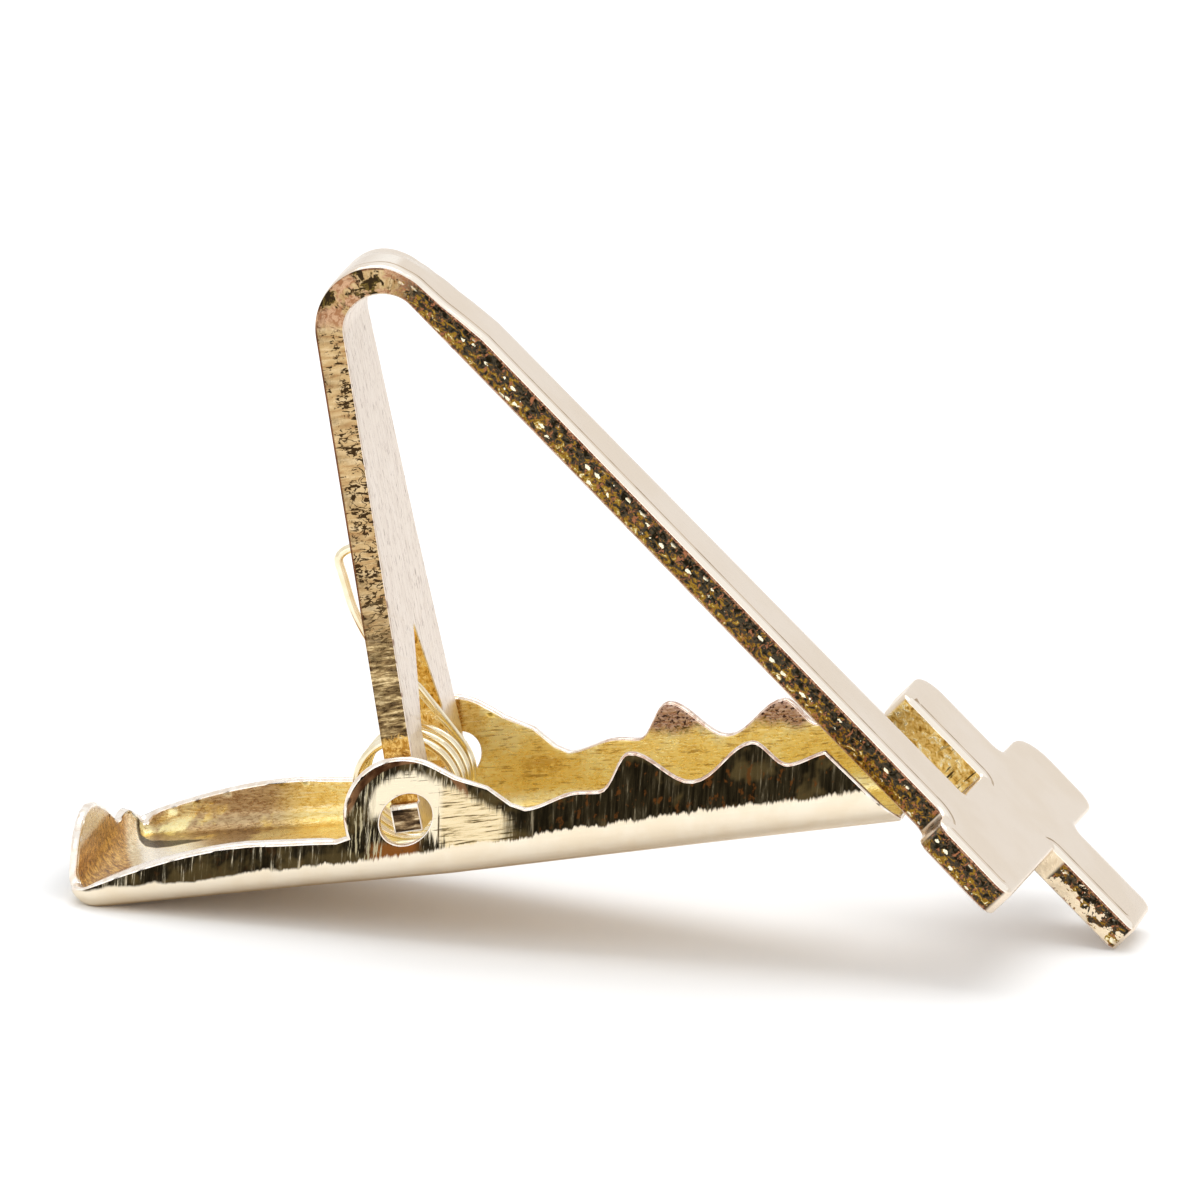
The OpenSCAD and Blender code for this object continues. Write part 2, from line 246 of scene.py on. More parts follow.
def cut_sheet(outer, holes, inner_points=(), rows=()):
    """Triangles that fill an outline round its holes: points, triangles, and each loop as point numbers.

    No triangle crosses a row, which is a closed line of points inside the outline.
    """
    pts, lines = [], []
    for loop in [outer, *holes, *rows]:
        lines.append(list(range(len(pts), len(pts) + len(loop))))
        pts += [Vector(p) for p in loop]
    edges = [(a, b) for line in lines for a, b in zip(line, line[1:] + line[:1])]
    pts += [Vector(p) for p in inner_points]
    made, _, faces, origins, _, _ = delaunay_2d_cdt(pts, edges, [], 1, 1e-7)
    number = {old: new for new, olds in enumerate(origins) for old in olds}
    keep = []
    for f in faces:
        c = sum((made[i] for i in f), Vector((0, 0))) / len(f)
        if inside(c, outer) and not any(inside(c, h) for h in holes):
            keep.append(tuple(f))
    loops = lines[:1 + len(holes)]
    return [tuple(p) for p in made], keep, [[number[i] for i in loop] for loop in loops]


def placed(name, data):
    obj = bpy.data.objects.new(name, data)
    bpy.context.scene.collection.objects.link(obj)
    return obj


def finished(name, bm, materials):
    """A plain mesh object at the origin from a bmesh in metres."""
    mesh = bpy.data.meshes.new(name)
    bm.to_mesh(mesh)
    bm.free()
    for m in materials:
        mesh.materials.append(m)
    mesh.shade_smooth()
    return placed(name, mesh)


class Finish:
    """A metal finish: nodes are added by kind and linked by socket name."""

    def __init__(self, name):
        self.mat = bpy.data.materials.new(name)
        self.mat.use_nodes = True
        self.tree = self.mat.node_tree
        self.tree.nodes.clear()
        self.out = self.tree.nodes.new("ShaderNodeOutputMaterial")
        self.shader = self.tree.nodes.new("ShaderNodeBsdfPrincipled")
        self.tree.links.new(self.shader.outputs[0], self.out.inputs[0])
        self.shader.inputs["Metallic"].default_value = 1.0

    def feed(self, socket, value):
        """Link a value that another node makes, or set the socket's own."""
        if isinstance(value, bpy.types.NodeSocket):
            self.tree.links.new(value, socket)
        else:
            socket.default_value = (*value, 1) if socket.type == "RGBA" else value

    def add(self, kind, values, **settings):
        n = self.tree.nodes.new("ShaderNode" + kind)
        for k, v in settings.items():
            setattr(n, k, v)
        for k, v in values.items():
            self.feed(n.inputs[k], v)
        return n

    def place(self, attribute):
        return self.add("Attribute", {}, attribute_name=attribute, attribute_type="GEOMETRY").outputs["Vector"]

    def stretched(self, vector, scale, location=(0, 0, 0)):
        return self.add("Mapping", {"Vector": vector, "Scale": scale, "Location": location}).outputs[0]

    def noise(self, vector, stretch, detail, roughness=0.55, distortion=0.0, shift=(0, 0, 0)):
        """Fine noise; stretch is how many grains a millimetre holds along each axis."""
        return self.add("TexNoise", {"Vector": self.stretched(vector, stretch, shift), "Scale": 1.0,
                                     "Detail": detail, "Roughness": roughness, "Distortion": distortion}).outputs[0]

    def from_grains(self, vector, stretch):
        """Distance from the middle of the nearest grain."""
        return self.add("TexVoronoi", {"Vector": self.stretched(vector, stretch), "Scale": 1.0}).outputs["Distance"]

    def ramp(self, value, stops):
        n = self.add("ValToRGB", {"Fac": value})
        for k, (at, color) in enumerate(stops):
            e = n.color_ramp.elements[k] if k < 2 else n.color_ramp.elements.new(at)
            e.position = at
            e.color = (*color, 1)
        return n.outputs[0]

    def step(self, value, low, high, a=0.0, b=1.0):
        """From a to b, eased, while the value goes from low to high."""
        return self.add("MapRange", {"Value": value, "From Min": low, "From Max": high, "To Min": a, "To Max": b},
                        interpolation_type="SMOOTHSTEP").outputs[0]

    def math(self, op, a, b=0.0):
        return self.add("Math", {0: a, 1: b}, operation=op).outputs[0]

    def times(self, first, *more):
        for value in more:
            first = self.math("MULTIPLY", first, value)
        return first

    def largest(self, first, *more):
        for value in more:
            first = self.math("MAXIMUM", first, value)
        return first

    def sum(self, *terms):
        """All terms added up; a term is a value, or a value with its weight."""
        values = [self.math("MULTIPLY", *term) if isinstance(term, tuple) else term for term in terms]
        total = values[0]
        for value in values[1:]:
            total = self.math("ADD", total, value)
        return total

    def size(self, value):
        return self.math("ABSOLUTE", value)

    def mix(self, factor, a, b):
        return self.add("Mix", {0: factor, 6: a, 7: b}, data_type="RGBA").outputs[2]

    def shade(self, value, low, high, a, b):
        """Colour a where the value is under low and b where it is over high."""
        return self.mix(self.step(value, low, high), a, b)

    def parts(self, vector):
        n = self.add("SeparateXYZ", {"Vector": vector})
        return n.outputs[0], n.outputs[1], n.outputs[2]

    def bump(self, height, distance, strength):
        n = self.add("Bump", {"Height": height, "Distance": distance, "Strength": strength})
        self.feed(self.shader.inputs["Normal"], n.outputs[0])

    def use(self, **sockets):
        for k, v in sockets.items():
            self.feed(self.shader.inputs[k.replace("_", " ")], v)
        return self.mat


def plated_face():
    """The front's face: pale and brushed lengthwise, with a bright painted highlight along the near rolled edge."""
    f = Finish("plated_face")
    flat = f.place("flat")
    cloud = f.noise(flat, (0.25, 0.25, 0.25), 2.0)
    brushed = f.noise(flat, (0.6, 14.0, 6.0), 3.0, 0.6)
    f.bump(brushed, 0.00001, 0.5)
    color = f.shade(cloud, 0.35, 0.65, (0.8, 0.68, 0.545), (0.83, 0.72, 0.6))
    u, _, w = f.parts(flat)
    _, across, _ = f.parts(f.place("way"))
    # painted highlight: the crown's rolled edge on the near side is coloured near white
    roll = f.times(f.step(w, CROWN_TOP - 0.006, CROWN_TOP - 0.014), f.step(u, LEG_LEN + 3.4, LEG_LEN + 4.4),
                   f.step(across, -0.5, -0.8))
    color = f.mix(roll, color, (0.96, 0.88, 0.77))
    return f.use(Base_Color=color, Roughness=f.step(brushed, 0.3, 0.7, 0.2, 0.27))


def roll_line():
    """The fine line where the rolled edge meets the face."""
    f = Finish("roll_line")
    worn = f.noise(f.place("flat"), (0.7, 0.7, 0.7), 3.0)
    color = f.shade(worn, 0.35, 0.62, (0.36, 0.24, 0.12), (0.62, 0.48, 0.33))
    return f.use(Base_Color=color, Roughness=0.3)


def cut_edge():
    """The sawn and tumbled side: tan with dark pits on the leg; on the bar a painted dark reflection with gold and
    bright flecks; pale painted reflections on the arm's step and on the end faces that point along the bar.
    """
    f = Finish("cut_edge")
    flat = f.place("flat")
    u, v, w = f.parts(flat)
    lengthwise, _, _ = f.parts(f.place("way"))
    grain = f.noise(flat, (3.0, 3.0, 4.2), 5.0, 0.62, 0.6)
    patch = f.noise(flat, (0.9, 0.9, 1.2), 3.0, 0.6, shift=(3, 1, 0))
    fine = f.noise(flat, (9.0, 9.0, 7.0), 3.0, 0.6)
    # bar and cross, near side: a painted dark reflection over the sawn grain, with rosy bits and bright flecks
    tone = f.sum(grain, (w, -0.11), (patch, 0.2), -0.1)
    dark = f.ramp(tone, [(0.38, (0.012, 0.009, 0.004)), (0.47, (0.05, 0.042, 0.028)), (0.515, (0.075, 0.058, 0.034)),
                         (0.545, (0.12, 0.045, 0.012)), (0.575, (0.32, 0.18, 0.02)), (0.62, (0.2, 0.11, 0.015)),
                         (0.66, (0.42, 0.28, 0.05)), (0.74, (0.95, 0.85, 0.55))])
    rosy_bits = f.noise(flat, (4.5, 4.5, 3.0), 4.0, 0.65, 0.5, (7, 2, 5))
    dark = f.shade(rosy_bits, 0.56, 0.64, dark, (0.33, 0.13, 0.06))
    fleck = f.sum(f.from_grains(flat, (1.25, 1.25, 2.6)), (fine, 0.5))
    fleck = f.times(f.step(fleck, 0.47, 0.44), f.step(w, 0.5, 0.3), f.step(w, -0.6, -0.45))
    dark = f.mix(fleck, dark, (1.0, 0.93, 0.68))
    border = f.largest(f.step(w, 0.57, 0.63), f.step(w, -0.55, -0.6))
    rosy = f.shade(fine, 0.42, 0.58, (0.16, 0.06, 0.03), (0.5, 0.27, 0.16))
    dark = f.mix(f.times(border, 0.85), dark, rosy)
    # a pale painted reflection on the step where the arm leaves the stem, and in patches further along the arm
    big = f.noise(flat, (1.3, 1.3, 1.5), 4.0, 0.65, 0.6, (5, 5, 1))
    on_arm = f.times(f.step(u, END_U - 6.4, END_U - 6.2), f.step(v, 4.0, 4.2))
    pale = f.largest(f.step(f.sum(big, (w, -0.1)), 0.53, 0.545), f.step(u, END_U - 4.7, END_U - 4.9))
    dark = f.mix(f.times(on_arm, pale), dark, (0.84, 0.7, 0.5))
    # leg
    streak = f.noise(flat, (4.0, 4.0, 0.8), 4.0, 0.6, 0.3)
    tan = f.ramp(streak, [(0.3, (0.38, 0.21, 0.085)), (0.5, (0.53, 0.36, 0.17)), (0.7, (0.68, 0.51, 0.29))])
    wander = f.noise(flat, (2.6, 2.6, 1.5), 2.0, 0.5, 0.8)
    line = f.step(f.size(f.sum(wander, -0.5)), 0.034, 0.018)
    dense = f.sum((patch, 1.4), (w, -0.22), (u, -0.018))
    dots = f.noise(flat, (5.5, 5.5, 1.9), 3.0, 0.6, 0.5, (2, 2, 2))
    dots = f.step(f.sum(dots, (f.step(dense, 0.1, 0.5), -0.085)), 0.375, 0.335)
    pits = f.largest(f.times(line, f.step(dense, 0.24, 0.42)), dots)
    tan = f.mix(pits, tan, (0.045, 0.025, 0.01))
    tan = f.shade(w, 0.58, 0.66, tan, (0.16, 0.06, 0.025))
    close = f.noise(flat, (6.0, 6.0, 1.3), 5.0, 0.65, 0.4, (4, 4, 4))
    brown = f.ramp(close, [(0.38, (0.04, 0.022, 0.009)), (0.48, (0.15, 0.095, 0.04)), (0.57, (0.36, 0.25, 0.11)),
                           (0.66, (0.8, 0.62, 0.34))])
    tan = f.mix(f.step(f.sum(u, (patch, 5.0)), 14.5, 9.0, 0.0, 0.9), tan, brown)
    foot = f.shade(grain, 0.42, 0.58, (0.42, 0.2, 0.03), (0.72, 0.45, 0.13))
    tan = f.shade(f.sum(u, fine), 4.5, 4.2, tan, foot)
    # the bend: rosy and black patches over the tan
    patches = f.noise(flat, (0.8, 0.8, 0.9), 4.0, 0.62, 0.4, (1, 4, 2))
    rosy = f.shade(grain, 0.42, 0.56, (0.36, 0.17, 0.08), (0.56, 0.34, 0.2))
    bend = f.shade(patches, 0.49, 0.56, tan, rosy)
    early = f.times(f.step(u, LEG_LEN + 0.5, LEG_LEN + 1.2), f.step(u, LEG_LEN + 3.6, LEG_LEN + 2.8),
                    f.step(w, 0.0, 0.5, 0.0, 0.06))
    inner = f.times(f.step(u, LEG_LEN + 2.0, LEG_LEN + 2.6), f.step(u, LEG_LEN + 4.4, LEG_LEN + 3.8),
                    f.step(w, -0.1, -0.6, 0.0, 0.09))
    black = f.shade(grain, 0.48, 0.6, (0.035, 0.022, 0.01), (0.15, 0.1, 0.025))
    bend = f.shade(f.sum(patches, (f.sum(early, inner), -1.0)), 0.45, 0.42, bend, black)
    leg = f.shade(f.sum(u, patch), LEG_LEN + 0.6, LEG_LEN + 1.4, tan, bend)
    color = f.shade(f.sum(u, (grain, 4.0)), LEG_LEN + 6.6, LEG_LEN + 8.4, leg, dark)
    # the far arm's near wall, and the window
    gold = f.ramp(grain, [(0.34, (0.4, 0.2, 0.03)), (0.44, (0.8, 0.5, 0.12)), (0.55, (0.95, 0.7, 0.26)),
                          (0.66, (1.0, 0.93, 0.66))])
    cracks = f.noise(flat, (6.0, 2.0, 0.7), 3.0, 0.6, 0.2)
    cracks = f.times(f.step(cracks, 0.42, 0.37), f.step(u, END_U - 14.0, END_U - 11.5))
    gold = f.mix(cracks, gold, (0.06, 0.04, 0.015))
    arm = f.times(f.step(u, END_U - 16.6, END_U - 16.4), f.step(v, 4.0, 4.2), f.step(u, END_U - 10.0, END_U - 10.2))
    from_middle = f.size(v)
    window = f.times(f.step(from_middle, 2.6, 2.5), f.step(u, 8.6, 8.5))
    color = f.mix(f.largest(arm, window), color, gold)
    # the lugs' ends: dark, with bright edges
    lug = f.times(f.step(from_middle, LUG_SPAN / 2 - 0.12, LUG_SPAN / 2 - 0.06), f.step(u, 1.0, 0.9))
    lug_dark = f.ramp(streak, [(0.38, (0.02, 0.012, 0.006)), (0.5, (0.1, 0.06, 0.03)), (0.58, (0.3, 0.2, 0.1)),
                               (0.66, (0.75, 0.6, 0.38))])
    edge = f.largest(f.step(f.size(w), 0.63, 0.66), f.step(u, 0.46, 0.5), f.step(u, -0.6, -0.64))
    color = f.mix(lug, color, f.mix(edge, lug_dark, (0.95, 0.87, 0.74)))
    # the end faces that point along the bar get a painted pale reflection in the face's colour, with a flatter bump
    painted_end_reflection = f.times(f.step(f.size(lengthwise), 0.6, 0.8), f.step(u, BAR_U + 5.0, BAR_U + 5.5))
    color = f.mix(painted_end_reflection, color, (0.82, 0.7, 0.56))
    f.bump(f.mix(painted_end_reflection, f.sum(grain, fine), (0.9, 0.9, 0.9)), 0.00006, 0.7)
    return f.use(Base_Color=color, Roughness=f.step(grain, 0.3, 0.7, 0.42, 0.24))


def plated_back():
    """The back and the inside of the fold: pinkish, brushed lengthwise."""
    f = Finish("plated_back")
    flat = f.place("flat")
    brushed = f.noise(flat, (0.55, 8.0, 4.0), 5.0, 0.65)
    pits = f.noise(flat, (1.6, 10.0, 4.0), 2.0, 0.5, shift=(5, 0, 0))
    color = f.ramp(brushed, [(0.3, (0.58, 0.47, 0.39)), (0.48, (0.75, 0.65, 0.55)), (0.7, (0.84, 0.75, 0.67))])
    color = f.shade(pits, 0.38, 0.33, color, (0.36, 0.25, 0.19))
    f.bump(brushed, 0.00003, 0.8)
    return f.use(Base_Color=color, Roughness=0.33)


def jaw_outside():
    """Dark and streaked upright on the wall, a painted dark reflection; pale on the fold; pale and scratched across
    round the ear's bore.
    """
    f = Finish("jaw_outside")
    sheet = f.place("sheet")
    x, h, _ = f.parts(sheet)
    streak = f.noise(sheet, (5.5, 0.35, 0.6), 5.0, 0.7)
    cloud = f.noise(sheet, (0.55, 0.5, 0.3), 3.0, 0.6)
    teeth = f.noise(sheet, (3.0, 1.6, 1.0), 4.0, 0.6, shift=(4, 2, 0))
    # the wall, a painted dark reflection streaked upright with rust at the teeth, and the fold under it
    rough = f.times(streak, f.step(x, -11.0, -2.0, 0.12, 0.75))
    ragged = f.sum(h, rough, (cloud, 0.75), f.step(x, -2.0, -11.0, 0.0, 0.3))
    up = f.step(f.sum(ragged, (f.step(x, -14.0, 20.0, 1.85, 2.75), -1.0)), -0.05, 0.12)
    dark = f.ramp(streak, [(0.35, (0.006, 0.004, 0.002)), (0.5, (0.016, 0.012, 0.006)), (0.57, (0.05, 0.038, 0.02)),
                           (0.61, (0.2, 0.18, 0.13)), (0.66, (0.66, 0.56, 0.4))])
    smooth_dark = f.ramp(streak, [(0.4, (0.008, 0.006, 0.003)), (0.6, (0.03, 0.022, 0.01)),
                                  (0.7, (0.1, 0.075, 0.035))])
    dark = f.mix(f.step(f.sum(x, (cloud, 3.0)), 5.0, 8.0, 0.0, 0.85), dark, smooth_dark)
    dark = f.shade(cloud, 0.48, 0.62, dark, f.mix(0.35, dark, (0.16, 0.11, 0.04)))
    rust = f.times(f.step(teeth, 0.58, 0.66), f.step(x, 5.0, 9.0, 0.15, 0.8))
    dark = f.mix(rust, dark, (0.1, 0.035, 0.008))
    pale = f.shade(cloud, 0.35, 0.65, (0.86, 0.74, 0.56), (0.9, 0.8, 0.64))
    pale = f.shade(h, 0.34, 0.1, pale, (0.66, 0.47, 0.24))
    # round the ear's bore
    rise = f.sum(h, -FLOOR_DROP)
    from_bore = f.math("SQRT", f.sum((x, x), (rise, rise)))
    lower_end = f.sum(rise, (cloud, 0.6), f.step(x, -1.0, 0.4, -0.9, 0.0), (streak, 0.6))
    ring = f.times(f.step(f.sum(from_bore, (streak, 1.2)), 3.1, 2.7), f.step(lower_end, -0.3, 0.2),
                   f.step(f.sum(x, (streak, 1.2)), -1.2, -0.9))
    hatch = f.noise(sheet, (9.0, 0.8, 1.0), 4.0, 0.6, shift=(1, 1, 1))
    beside = f.times(f.step(f.sum(x, (rise, 0.9), (hatch, 2.4)), 1.5, 2.1),
                     f.step(f.sum(x, (streak, 1.6)), 6.2, 5.2),
                     f.step(f.sum(h, (x, 0.64), (streak, 1.2)), 6.8, 6.3),
                     f.step(f.sum(rise, (streak, 1.2)), 2.3, 2.0))
    scratch = f.noise(sheet, (0.7, 9.0, 1.0), 4.0, 0.65)
    ear = f.ramp(scratch, [(0.39, (0.1, 0.07, 0.03)), (0.44, (0.55, 0.42, 0.22)), (0.48, (0.78, 0.63, 0.38)),
                           (0.7, (0.86, 0.73, 0.48))])
    ear = f.shade(x, 1.9, 1.5, ear, f.shade(scratch, 0.33, 0.38, ear, (0.86, 0.75, 0.55)))
    crossing = f.step(f.size(f.sum(x, (rise, 0.04), -1.62)), 0.05, 0.03)
    crossing = f.times(crossing, f.step(streak, 0.42, 0.5), f.step(rise, 1.5, 1.3))
    ear = f.mix(crossing, ear, (0.08, 0.05, 0.02))
    under = f.times(f.step(rise, -0.9, -1.3), f.step(f.size(f.sum(x, 0.5)), 1.5, 0.8), f.step(cloud, 0.44, 0.5))
    dark = f.mix(under, dark, (0.2, 0.07, 0.015))
    on_left = f.times(f.step(from_bore, 3.2, 3.0), f.step(x, -0.8, -1.2), f.step(hatch, 0.53, 0.6))
    dark = f.mix(on_left, dark, (0.42, 0.36, 0.22))
    groove = f.times(f.step(from_bore, 2.72, 2.8), f.step(from_bore, 3.2, 3.1), f.step(rise, 0.3, 1.0))
    dark = f.mix(groove, dark, f.shade(cloud, 0.4, 0.6, (0.04, 0.015, 0.006), (0.2, 0.1, 0.045)))
    color = f.mix(up, pale, f.mix(f.largest(ring, beside), dark, ear))
    f.bump(f.sum(streak, scratch), 0.00003, 0.6)
    return f.use(Base_Color=color, Roughness=0.24)


def jaw_inside():
    """Yellow gold, tarnished at the teeth's tips and towards the tail; on the tail's floor a painted dark reflection in
    a curved band and a pale painted reflection beside it.
    """
    f = Finish("jaw_inside")
    sheet = f.place("sheet")
    x, h, y = f.parts(sheet)
    cloud = f.noise(sheet, (0.5, 0.5, 0.5), 4.0, 0.6)
    fine = f.noise(sheet, (3.0, 9.0, 9.0), 5.0, 0.65)
    scratch = f.noise(sheet, (0.6, 7.0, 7.0), 4.0, 0.6, shift=(3, 3, 3))
    gold = f.shade(fine, 0.35, 0.65, (0.8, 0.56, 0.15), (0.98, 0.79, 0.35))
    gold = f.mix(f.step(scratch, 0.58, 0.64, 0.0, 0.5), gold, (1.0, 0.92, 0.66))
    patchy = f.noise(sheet, (0.4, 0.6, 0.6), 6.0, 0.7, shift=(8, 1, 2))
    gold = f.mix(f.step(x, 0.0, 2.5, 0.0, 0.5), gold, (1.0, 0.85, 0.35))
    gold = f.mix(f.step(patchy, 0.49, 0.6, 0.0, 0.8), gold, (1.0, 0.92, 0.52))
    gold = f.mix(f.step(patchy, 0.44, 0.35, 0.0, 0.6), gold, (0.6, 0.36, 0.06))
    worn = f.times(f.step(scratch, 0.41, 0.37), f.step(x, 0.5, 2.0, 0.0, 0.6))
    gold = f.mix(worn, gold, (0.34, 0.18, 0.03))
    tarnish = f.shade(fine, 0.35, 0.65, (0.34, 0.21, 0.1), (0.6, 0.44, 0.24))
    tail = f.times(f.step(x, -6.6, -9.4), f.step(f.sum(cloud, (h, 0.06)), 0.46, 0.58))
    tip = f.shade(fine, 0.35, 0.65, (0.32, 0.18, 0.13), (0.6, 0.43, 0.34))
    specks = f.noise(sheet, (5.0, 7.0, 7.0), 3.0, 0.6, shift=(2, 6, 1))
    tip = f.shade(specks, 0.45, 0.41, tip, (0.06, 0.03, 0.025))
    high = f.times(f.step(f.sum(h, (cloud, 2.4)), 4.5, 5.6), f.step(x, 4.5, 7.0))
    color = f.mix(high, f.mix(tail, gold, tarnish), tip)
    # on the tail's floor: a pale painted reflection, and a painted dark reflection in a curved band
    first, last = TAIL_SPAN
    along = f.add("MapRange", {"Value": x, "From Min": first, "From Max": last}).outputs[0]
    borders = []
    for table in (CRESCENT_LOW, CRESCENT_HIGH):
        stops = [((at - first) / (last - first), (level / 10,) * 3) for at, level in table]
        borders.append(f.times(f.ramp(along, stops), 10.0))
    low, top = borders
    ragged = f.sum(y, (fine, 0.3), -0.15)
    over_low = f.sum(ragged, (low, -1.0))
    painted_white_reflection = f.times(f.step(over_low, 0.1, -0.1), f.step(x, -11.0, -12.8), f.step(f.sum(h, cloud), 1.9, 1.5))
    color = f.mix(painted_white_reflection, color, (0.95, 0.88, 0.76))
    painted_dark_reflection = f.times(f.step(over_low, -0.06, 0.1), f.step(f.sum(top, (ragged, -1.0)), -0.06, 0.1),
                       f.step(h, 1.5, 1.1), f.step(x, -11.5, -12.2))
    color = f.mix(painted_dark_reflection, color, f.shade(fine, 0.4, 0.6, (0.012, 0.008, 0.003), (0.07, 0.035, 0.01)))
    # the thumb tab, and the streaks before it
    upright = f.noise(sheet, (3.6, 2.4, 4.2), 6.0, 0.75)
    streaks = f.shade(upright, 0.35, 0.6, (0.6, 0.42, 0.2), (0.93, 0.8, 0.56))
    sloped = f.sum(x, (y, 0.277), (fine, 0.5), -0.25)
    color = f.shade(sloped, -13.8, -14.2, color, streaks)
    tab = f.ramp(upright, [(0.36, (0.12, 0.042, 0.006)), (0.48, (0.46, 0.21, 0.03)), (0.6, (0.86, 0.53, 0.14))])
    tab = f.shade(f.sum(h, (fine, 1.2)), 3.3, 3.8, tab, (0.97, 0.9, 0.84))
    color = f.shade(sloped, -14.4, -14.8, color, tab)
    f.bump(fine, 0.00004, 0.7)
    # the painted dark reflection is also made less metallic
    return f.use(Base_Color=color, Roughness=f.step(fine, 0.3, 0.7, 0.24, 0.34), Specular_IOR_Level=0.15,
                 Metallic=f.step(painted_dark_reflection, 0.2, 0.8, 1.0, 0.25))


def burnished_rim():
    """The jaw's cut rims, rubbed bright, a little pink."""
    f = Finish("burnished_rim")
    sheet = f.place("sheet")
    x, h, _ = f.parts(sheet)
    fine = f.noise(sheet, (2.5, 2.5, 2.5), 4.0)
    color = f.shade(fine, 0.35, 0.65, (0.86, 0.74, 0.62), (0.97, 0.91, 0.83))
    tooth = f.times(f.step(h, 3.0, 3.8), f.step(x, 6.0, 7.0))
    color = f.mix(tooth, color, f.shade(fine, 0.4, 0.6, (0.62, 0.42, 0.32), (0.88, 0.74, 0.64)))
    f.bump(fine, 0.00001, 0.5)
    return f.use(Base_Color=color, Roughness=0.24)


def spring_wire():
    """Bright drawn wire, plated pale gold."""
    f = Finish("spring_wire")
    fine = f.noise(f.add("TexCoord", {}).outputs["Object"], (1200, 1200, 1200), 3.0)
    color = f.shade(fine, 0.35, 0.65, (0.86, 0.74, 0.5), (0.93, 0.85, 0.66))
    f.bump(fine, 0.00001, 0.4)
    return f.use(Base_Color=color, Roughness=0.16)


def on_plate(u, v, w):
    """A point of the flat blank, folded: u along it, v across, w out from its middle."""
    past_top = u - LEG_LEN - BEND_MID * (math.pi / 2 + LEAN)
    w -= along_table(past_top, BEND_THINNER) * (w + PLATE / 2) / PLATE
    w -= along_table(past_top, BEND_FAR_LOWER) * smooth(v / BEND_FAR_AT)
    if u < LEG_LEN:
        return metres(-u * math.sin(LEAN) - w * math.cos(LEAN), v, u * math.cos(LEAN) - w * math.sin(LEAN))
    a = math.pi + LEAN - min(u - LEG_LEN, BEND_LEN) / BEND_MID
    past = max(u - BAR_U, 0.0)
    r = BEND_MID + w
    return metres(BEND_X + r * math.cos(a) + past * math.sin(a), v, BEND_Z + r * math.sin(a) - past * math.cos(a))


def bend_half_width(u, wide=LEG_TOP_W / 2):
    a = math.pi + LEAN - (u - LEG_LEN) / BEND_MID
    x0, x1 = -BEND_R, BEND_MID * math.sin(DIP)
    t = min(max((BEND_MID * math.cos(a) - x0) / (x1 - x0), 0), 1)
    return wide + (BAR_W0 / 2 - wide) * t


def stem_point(x, y):
    """A point of the cross's stem in the flat blank: x from its centre line, y along it from the bar's centre line."""
    c, s = math.cos(STEM_LEAN), math.sin(STEM_LEAN)
    return END_U - STEM_BACK - STEM_W / 2 + x * c + y * s, y * c - x * s


def stem_side(x, v):
    """The point of the stem's side at v across the blank."""
    return stem_point(x, (v + x * math.sin(STEM_LEAN)) / math.cos(STEM_LEAN))


def front_outline():
    """The blank's outline and its window; each corner is a point and its radius."""
    foot, arms = -FOOT_PAST, ARMS_UP - FOOT_PAST
    top, arms_top = STEM_LEN - FOOT_PAST, ARMS_UP - FOOT_PAST + ARMS_W
    half, lug, span, leg = STEM_W / 2, LUG_W / 2, LUG_SPAN / 2, LEG_FOOT_W / 2
    arm0 = END_U - ARMS_LEN
    bends = [LEG_LEN + BEND_LEN * k / BEND_CORNERS for k in range(1, BEND_CORNERS)]
    blank = [(-lug, -span, 0.12), (lug, -span, 0.12), (lug, -leg, 0.08), (LEG_LEN, -LEG_TOP_W / 2, 0)]
    blank += [(u, -bend_half_width(u), 0) for u in bends]
    blank += [(BAR_U, -BAR_W0 / 2, 0), (*stem_side(-half, -BAR_W1 / 2), 0.7), (*stem_point(-half, foot), 0.7),
              (*stem_point(half, foot), 0.9), (*stem_side(half, arms), 0.18), (END_U, arms, 0.45),
              (END_U, arms_top, 0.7), (*stem_side(half, arms_top), 0.6), (*stem_point(half, top), 0.9),
              (*stem_point(-half, top), 2.0), (*stem_side(-half, arms_top), 0.8), (arm0, arms_top, 1.5),
              (arm0, arms, 0.5), (*stem_side(-half, arms), 0.18), (*stem_side(-half, BAR_W1 / 2), 0.35),
              (BAR_U, BAR_W0 / 2, 0)]
    blank += [(u, bend_half_width(u, LEG_FAR_TOP), 0) for u in reversed(bends)]
    blank += [(LEG_LEN, LEG_FAR_TOP, 0), ((lug + LEG_LEN) / 2, (LEG_FOOT_W + LEG_TOP_W) / 4, 0), (lug, leg, 0.08),
              (lug, span, 0.12), (-lug, span, 0.12)]
    wide = WINDOW_W / 2
    window = [(lug, -wide, 0.2), (WINDOW_SIDE, -wide, 0.3), (WINDOW_TOP, 0, 0.12), (WINDOW_SIDE, wide, 0.3),
              (lug, wide, 0.2)]
    return rounded_loop(blank), rounded_loop(window)


def crown_share(u):
    """How much of the crown a place along the blank has: almost none on the leg, all of it on the bar."""
    return LEG_CROWN + (1 - LEG_CROWN) * smooth((u - LEG_LEN) / BEND_LEN * 1.1)


